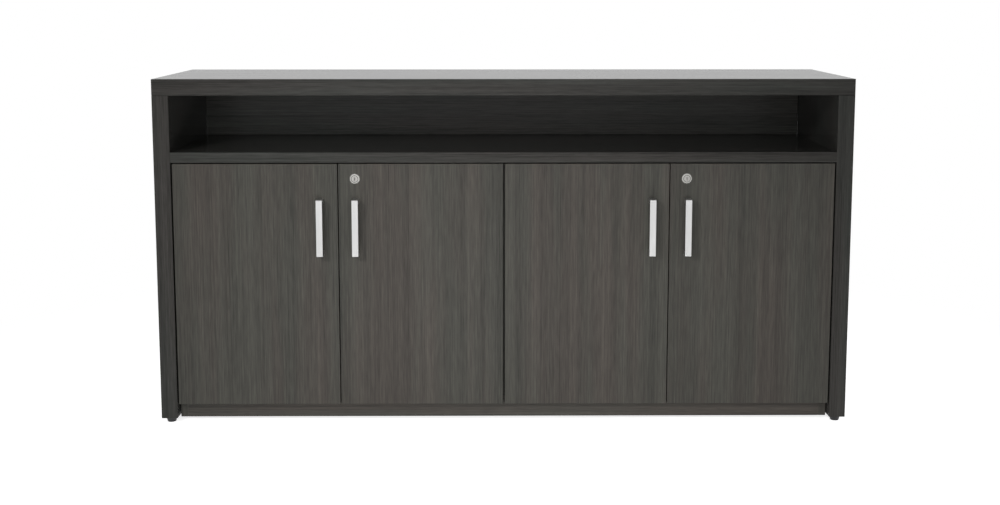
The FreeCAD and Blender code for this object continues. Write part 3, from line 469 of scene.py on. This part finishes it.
def add_screw(mesh, place, head_radius, head_height, shank_radius, length):
    """Adds one screw; its own Z runs out of the head and the head's underside is at Z = 0."""

    def ring(radius, height):
        turns = [2 * math.pi * step / SCREW_SIDES for step in range(SCREW_SIDES)]
        return [
            mesh.verts.new(place @ Vector((radius * math.cos(t), radius * math.sin(t), height)))
            for t in turns
        ]

    def join(first, second):
        for step in range(len(first)):
            after = (step + 1) % len(first)
            mesh.faces.new((first[step], first[after], second[after], second[step]))

    rings = [ring(shank_radius, -length), ring(shank_radius, 0.0)]
    rings += [ring(head_radius * across, head_height * up) for across, up in HEAD_OUTLINE]
    mesh.faces.new(reversed(rings[0]))
    for below, above in zip(rings, rings[1:]):
        join(below, above)

    arm, half = RECESS_ARM * head_radius, RECESS_WIDTH * head_radius
    corner = [(arm, -half), (arm, half), (half, half)]
    cross = []
    for quarter in range(4):
        turn = Matrix.Rotation(quarter * math.pi / 2, 2)
        cross += [turn @ Vector(point) for point in corner]
    upper, lower = (
        [mesh.verts.new(place @ Vector((x, y, height))) for x, y in cross]
        for height in (head_height, head_height * (1 - RECESS_DEPTH))
    )
    edges = [
        mesh.edges.get(ends) or mesh.edges.new(ends)
        for loop in (rings[-1], upper)
        for ends in zip(loop, loop[1:] + loop[:1])
    ]
    bmesh.ops.triangle_fill(mesh, use_beauty=True, edges=edges)
    join(upper, lower)
    mesh.faces.new(lower)


def screws(name, body, material, spots, size, stands_for=None):
    """One piece with a screw at each spot.

    A spot is the middle of a head's underside and the head's direction. size is the head's
    radius and height, and the shank's radius and length.
    """
    mesh = bmesh.new()
    for place, outward in spots:
        painted_groove_colour = outward.to_track_quat("Z", "Y").to_matrix().to_4x4()
        add_screw(mesh, Matrix.Translation(place) @ painted_groove_colour, *size)
    bmesh.ops.recalc_face_normals(mesh, faces=mesh.faces)
    data = bpy.data.meshes.new(name)
    mesh.to_mesh(data)
    mesh.free()
    data.materials.append(bpy.data.materials[material])
    piece = add_object(name, data)
    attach(piece, body)
    if stands_for:
        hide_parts(stands_for)


REARWARD = Vector((0.0, 1.0, 0.0))
SIDEWAYS = {-1: Vector((-1.0, 0.0, 0.0)), 1: Vector((1.0, 0.0, 0.0))}
HEAD_RADIUS = 0.004
HEAD_HEIGHT = 0.0024
HANDLE_SHANK = 0.002
FRAME_SHANK = 0.0025
ARM_SHANK = 0.003
ARM_STAND = 0.0072
WING_SCREW = (0.0033, 0.0012, 0.0016, 0.0009)
WING_SCREW_INWARD = 0.008
WING_SCREW_SPREAD = 0.024
CUP_HALF_LENGTH = 0.0305
PLATE_WING_THICKNESS = 0.0016
PLATE_SCREW_SPREAD = 0.016
PLATE_WING_SETBACK = 0.0195


def hinge_levels(name):
    """The heights of a door's two hinges."""
    low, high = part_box(f"{name}_hinge_cups")
    return low[2] + CUP_HALF_LENGTH, high[2] - CUP_HALF_LENGTH


def make_door_screws(name):
    """The screws of a door's handle and of the wings of its hinge cups."""
    body = f"{name}_door"
    low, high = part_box(f"{name}_door_screws")
    head = high[1] - HEAD_HEIGHT
    middle = (low[0] + high[0]) / 2
    spots = [
        (Vector((middle, head, height)), REARWARD)
        for height in (low[2] + HEAD_RADIUS, high[2] - HEAD_RADIUS)
    ]
    size = (HEAD_RADIUS, HEAD_HEIGHT, HANDLE_SHANK, head - low[1])
    screws(f"{name}_handle_screws", body, "zinc_plate", spots, size, f"{name}_door_screws")

    low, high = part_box(f"{name}_hinge_cups")
    away = 1 if name in HINGED_ON_THE_LEFT else -1
    line = (low[0] + high[0]) / 2 + away * WING_SCREW_INWARD
    spots = [
        (Vector((line, high[1], level + sign * WING_SCREW_SPREAD)), REARWARD)
        for level in hinge_levels(name)
        for sign in (-1, 1)
    ]
    screws(f"{name}_cup_screws", body, "nickelled_steel", spots, WING_SCREW)


def make_carcass_screws():
    """The screws through the carcass sides, and of the hinges' arms and mounting plates."""
    left_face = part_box("carcass_left_side")[1][0]
    right_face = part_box("carcass_right_side")[0][0]
    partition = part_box("centre_partition")
    faces = ((left_face, 1), (partition[0][0], -1), (partition[1][0], 1), (right_face, -1))

    low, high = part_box("carcass_screws")
    spots = [
        (Vector((face, y, z)), SIDEWAYS[side])
        for face, side in (faces[0], faces[-1])
        for y in (low[1] + HEAD_RADIUS, high[1] - HEAD_RADIUS)
        for z in (low[2] + HEAD_RADIUS, high[2] - HEAD_RADIUS)
    ]
    size = (HEAD_RADIUS, HEAD_HEIGHT, FRAME_SHANK, left_face - low[0])
    screws("side_screws", "root", "zinc_plate", spots, size, "carcass_screws")

    levels = hinge_levels(DOORS[0])
    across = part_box("hinge_screws")[0][1] + HEAD_RADIUS
    spots = [
        (Vector((face + side * ARM_STAND, across, level)), SIDEWAYS[side])
        for face, side in faces
        for level in levels
    ]
    size = (HEAD_RADIUS, HEAD_HEIGHT, ARM_SHANK, ARM_STAND)
    screws("arm_screws", "root", "nickelled_steel", spots, size, "hinge_screws")

    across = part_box("hinge_plates")[0][1] + PLATE_WING_SETBACK
    spots = [
        (Vector((face + side * PLATE_WING_THICKNESS, across, level + shift)), SIDEWAYS[side])
        for face, side in faces
        for level in levels
        for shift in (-PLATE_SCREW_SPREAD, PLATE_SCREW_SPREAD)
    ]
    screws("plate_screws", "root", "nickelled_steel", spots, WING_SCREW)


# ---------------------------------------------------------------- stage and world

FLOOR_REACH = 60.0
FLOOR_COLOUR = (0.80, 0.80, 0.80, 1.0)
# How much the floor shines by itself where it is seen, so that it comes out white.
FLOOR_LIFT = 0.78
# The distances from the middle at which the floor starts to fade and has become plain white.
FADE_START = 1.0
FADE_END = 1.8
AMBIENT = 0.26


def seen_directly(tree):
    """1 for what the camera, a reflection or a refraction sees, and 0 for light that is cast."""
    path = tree.nodes.new("ShaderNodeLightPath")
    seen = path.outputs["Is Camera Ray"]
    for ray in ("Is Glossy Ray", "Is Transmission Ray"):
        either = tree.nodes.new("ShaderNodeMath")
        either.operation = "MAXIMUM"
        tree.links.new(seen, either.inputs[0])
        tree.links.new(path.outputs[ray], either.inputs[1])
        seen = either.outputs[0]
    return seen


def make_floor():
    """A pale floor that keeps the shadow and fades to white away from the credenza."""
    mesh = bpy.data.meshes.new("floor")
    corners = [
        (x * FLOOR_REACH, y * FLOOR_REACH, 0.0) for x, y in ((-1, -1), (1, -1), (1, 1), (-1, 1))
    ]
    mesh.from_pydata(corners, [], [(0, 1, 2, 3)])
    floor = add_object("floor", mesh)

    finish = Finish("floor_paint")
    direct = seen_directly(finish.tree)
    mottle = finish.noise((FLOOR_WAVES, FLOOR_WAVES, FLOOR_WAVES), detail=3.0)
    finish.set(
        Base_Color=finish.mix(mottle, FLOOR_COLOUR, shaded(FLOOR_COLOUR, FLOOR_SHADE)),
        Roughness=0.9, Specular_IOR_Level=0.1, Emission_Color=WHITE,
        Emission_Strength=finish.math("MULTIPLY", direct, FLOOR_LIFT),
    )
    length = finish.vector("LENGTH", finish.place)
    away = finish.node("MapRange", {"From Min": FADE_START, "From Max": FADE_END})
    away.interpolation_type = "SMOOTHSTEP"
    finish.feed(away.inputs["Value"], length.outputs["Value"])
    white = finish.node("Emission", {"Strength": finish.remap(direct, 0.0, 1.0, AMBIENT, 1.0)})
    blend = finish.node("MixShader")
    finish.feed(blend.inputs[0], away.outputs["Result"])
    finish.feed(blend.inputs[1], finish.shader.outputs["BSDF"])
    finish.feed(blend.inputs[2], white.outputs["Emission"])
    output = next(node for node in finish.tree.nodes if node.type == "OUTPUT_MATERIAL")
    finish.feed(output.inputs["Surface"], blend.outputs["Shader"])
    mesh.materials.append(finish.material)


def make_world():
    """White as a background and in reflections, and a plain level of soft light."""
    world = bpy.data.worlds.new("studio")
    bpy.context.scene.world = world
    world.use_nodes = True
    tree = world.node_tree
    level = tree.nodes.new("ShaderNodeMapRange")
    level.inputs["To Min"].default_value = AMBIENT
    level.inputs["To Max"].default_value = 1.0
    tree.links.new(seen_directly(tree), level.inputs["Value"])
    background = tree.nodes["Background"]
    background.inputs["Color"].default_value = WHITE
    tree.links.new(level.outputs["Result"], background.inputs["Strength"])


# ---------------------------------------------------------------- lamps

# The key shines through a cone, in degrees, from a round source with a radius.
KEY_PLACE = (-1.63, -2.44, 1.81)
KEY_AIM = (-0.08, -0.2, 0.16)
KEY_CONE = 46.0
KEY_RADIUS = 0.2
KEY_WATTS = 226.0

# Each soft lamp's place, what it is turned to, its width, its height and its watts.
SOFT_LAMPS = {
    "front_fill": ((0.0, -4.2, 1.1), (0.0, -0.2, 0.43), 2.6, 1.4, 5.0),
    "left_fill": ((-0.5, -3.6, 0.85), (-0.2, -0.2, 0.6), 2.2, 1.4, 5.0),
    "low_fill": ((0.05, -1.5, 0.15), (0.0, -0.2, 0.43), 1.5, 0.25, 8.5),
    "shelf_fill": ((-0.05, -1.7, 0.74), (0.0, 0.0, 0.74), 1.6, 0.12, 4.5),
    "rear_fill": ((2.2, 2.7, 1.7), (0.2, 0.1, 0.4), 2.6, 1.4, 60.0),
}
NOT_REFLECTED = ("key", "low_fill", "shelf_fill", "rear_fill")


def hang(name, lamp, place, aim):
    """Puts a lamp at its place, turned to its aim."""
    holder = add_object(name, lamp)
    holder.location = place
    holder.rotation_mode = "QUATERNION"
    holder.rotation_quaternion = (Vector(place) - Vector(aim)).to_track_quat("Z", "Y")
    holder.visible_glossy = name not in NOT_REFLECTED


def make_key():
    """A soft spot lamp whose light fades towards the edge of its cone."""
    lamp = bpy.data.lights.new("key", "SPOT")
    lamp.spot_size = math.radians(KEY_CONE)
    lamp.spot_blend = 1.0
    lamp.shadow_soft_size = KEY_RADIUS
    lamp.energy = KEY_WATTS
    hang("key", lamp, KEY_PLACE, KEY_AIM)


def make_soft_lamp(name, place, aim, width, height, watts):
    lamp = bpy.data.lights.new(name, "AREA")
    lamp.shape = "RECTANGLE"
    lamp.size = width
    lamp.size_y = height
    lamp.energy = watts
    hang(name, lamp, place, aim)


# ---------------------------------------------------------------- camera

# The photograph has more shift and no pitch. The other views keep this camera's shift, so it is
# kept small. Those at an elevation of 15 degrees hold the whole credenza. At 30 degrees most of
# them still cut off its top edge.
CAMERA_PLACE = (-0.031, -3.259, 1.045)
CAMERA_PITCH = 6.85
CAMERA_YAW = 0.40
CAMERA_SHIFT = -0.10
CAMERA_REACH = 200.0
FOCAL_PIXELS = 1269.4
IMAGE_WIDTH = 1000
SENSOR = 36.0


def make_camera():
    camera = bpy.data.cameras.new("camera")
    camera.sensor_width = SENSOR
    camera.lens = SENSOR * FOCAL_PIXELS / IMAGE_WIDTH
    camera.shift_y = CAMERA_SHIFT
    camera.clip_end = CAMERA_REACH
    holder = add_object("camera", camera)
    holder.location = CAMERA_PLACE
    holder.rotation_euler = (math.radians(90 - CAMERA_PITCH), 0.0, -math.radians(CAMERA_YAW))
    bpy.context.scene.camera = holder


# ---------------------------------------------------------------- build

dress_boards()
dress_fittings()
soften_edges()
for door in DOORS:
    make_door_screws(door)
make_carcass_screws()
make_floor()
make_world()
make_key()
for lamp_name, facts in SOFT_LAMPS.items():
    make_soft_lamp(lamp_name, *facts)
make_camera()
bpy.context.scene.view_settings.view_transform = "Standard"
